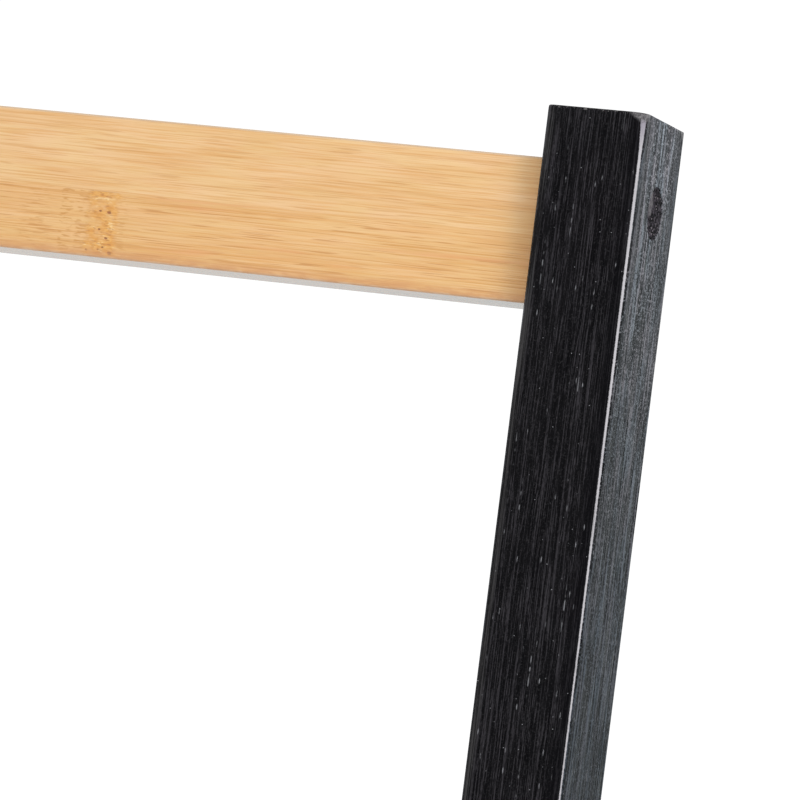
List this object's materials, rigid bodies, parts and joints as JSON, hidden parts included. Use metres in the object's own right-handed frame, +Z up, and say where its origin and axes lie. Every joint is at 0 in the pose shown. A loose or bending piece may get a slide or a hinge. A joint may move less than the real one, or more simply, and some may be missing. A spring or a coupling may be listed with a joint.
{
  "type": "folding towel rack",
  "caption": "Free-standing folding towel rack: leaning wooden frames crossed on pivot bolts, joined by towel rails and held open by a bevelled stop rail.",
  "frame": {"origin": "on the floor under the middle of the open rack: the middle of its width and depth, at the underside of the foot pads", "axes": "+X along the rails, to the right as seen from the front, +Y from the front to the back, +Z up; the tall outer frame leans back towards +Y"},
  "size_m": [0.5, 0.3654, 0.8487],
  "materials": {
    "black_bamboo": "black-stained, brushed satin",
    "natural_bamboo": "clear satin lacquer",
    "plug_wood": "black-stained end grain",
    "natural_plug": "clear lacquered end grain",
    "dowel_wood": "raw",
    "zinc_steel": "zinc-plated",
    "black_steel": "black oxide, satin",
    "pale_nylon": "matt",
    "pad_rubber": "matt"
  },
  "bodies": {
    "outer_frame": {"outer_upright_left": "black_bamboo", "outer_upright_right": "black_bamboo", "outer_top_rail": "natural_bamboo", "outer_second_rail": "natural_bamboo", "stop_rail": "natural_bamboo", "outer_top_rail_screw_left": "zinc_steel", "outer_top_rail_screw_right": "zinc_steel", "outer_second_rail_screw_left": "zinc_steel", "outer_second_rail_screw_right": "zinc_steel", "stop_rail_screw_left": "zinc_steel", "stop_rail_screw_right": "zinc_steel", "outer_top_rail_plug_left": "plug_wood", "outer_top_rail_plug_right": "plug_wood", "outer_second_rail_plug_left": "plug_wood", "outer_second_rail_plug_right": "plug_wood", "stop_rail_plug_left": "natural_plug", "stop_rail_plug_right": "natural_plug", "outer_top_rail_dowel_left": "dowel_wood", "outer_top_rail_dowel_right": "dowel_wood", "outer_second_rail_dowel_left": "dowel_wood", "outer_second_rail_dowel_right": "dowel_wood", "pivot_bolt_left": "black_steel", "pivot_bolt_right": "black_steel", "pivot_sleeve_nut_left": "black_steel", "pivot_sleeve_nut_right": "black_steel", "pivot_washer_left": "pale_nylon", "pivot_washer_right": "pale_nylon", "outer_foot_pad_left": "pad_rubber", "outer_foot_pad_right": "pad_rubber"},
    "inner_frame": {"inner_upright_left": "black_bamboo", "inner_upright_right": "black_bamboo", "inner_top_rail": "natural_bamboo", "inner_foot_rail": "natural_bamboo", "inner_top_rail_screw_left": "zinc_steel", "inner_top_rail_screw_right": "zinc_steel", "inner_foot_rail_screw_left": "zinc_steel", "inner_foot_rail_screw_right": "zinc_steel", "inner_top_rail_plug_left": "plug_wood", "inner_top_rail_plug_right": "plug_wood", "inner_foot_rail_plug_left": "plug_wood", "inner_foot_rail_plug_right": "plug_wood", "inner_top_rail_dowel_left": "dowel_wood", "inner_top_rail_dowel_right": "dowel_wood", "inner_foot_rail_dowel_left": "dowel_wood", "inner_foot_rail_dowel_right": "dowel_wood", "inner_foot_pad_left": "pad_rubber", "inner_foot_pad_right": "pad_rubber"}
  },
  "joints": [
    {"name": "frame_fold", "type": "hinge", "parent": "outer_frame", "child": "inner_frame", "pos_m": [0, -0.01243, 0.40474], "axis": [-1, 0, 0], "range_deg": [0, 45]}
  ]
}
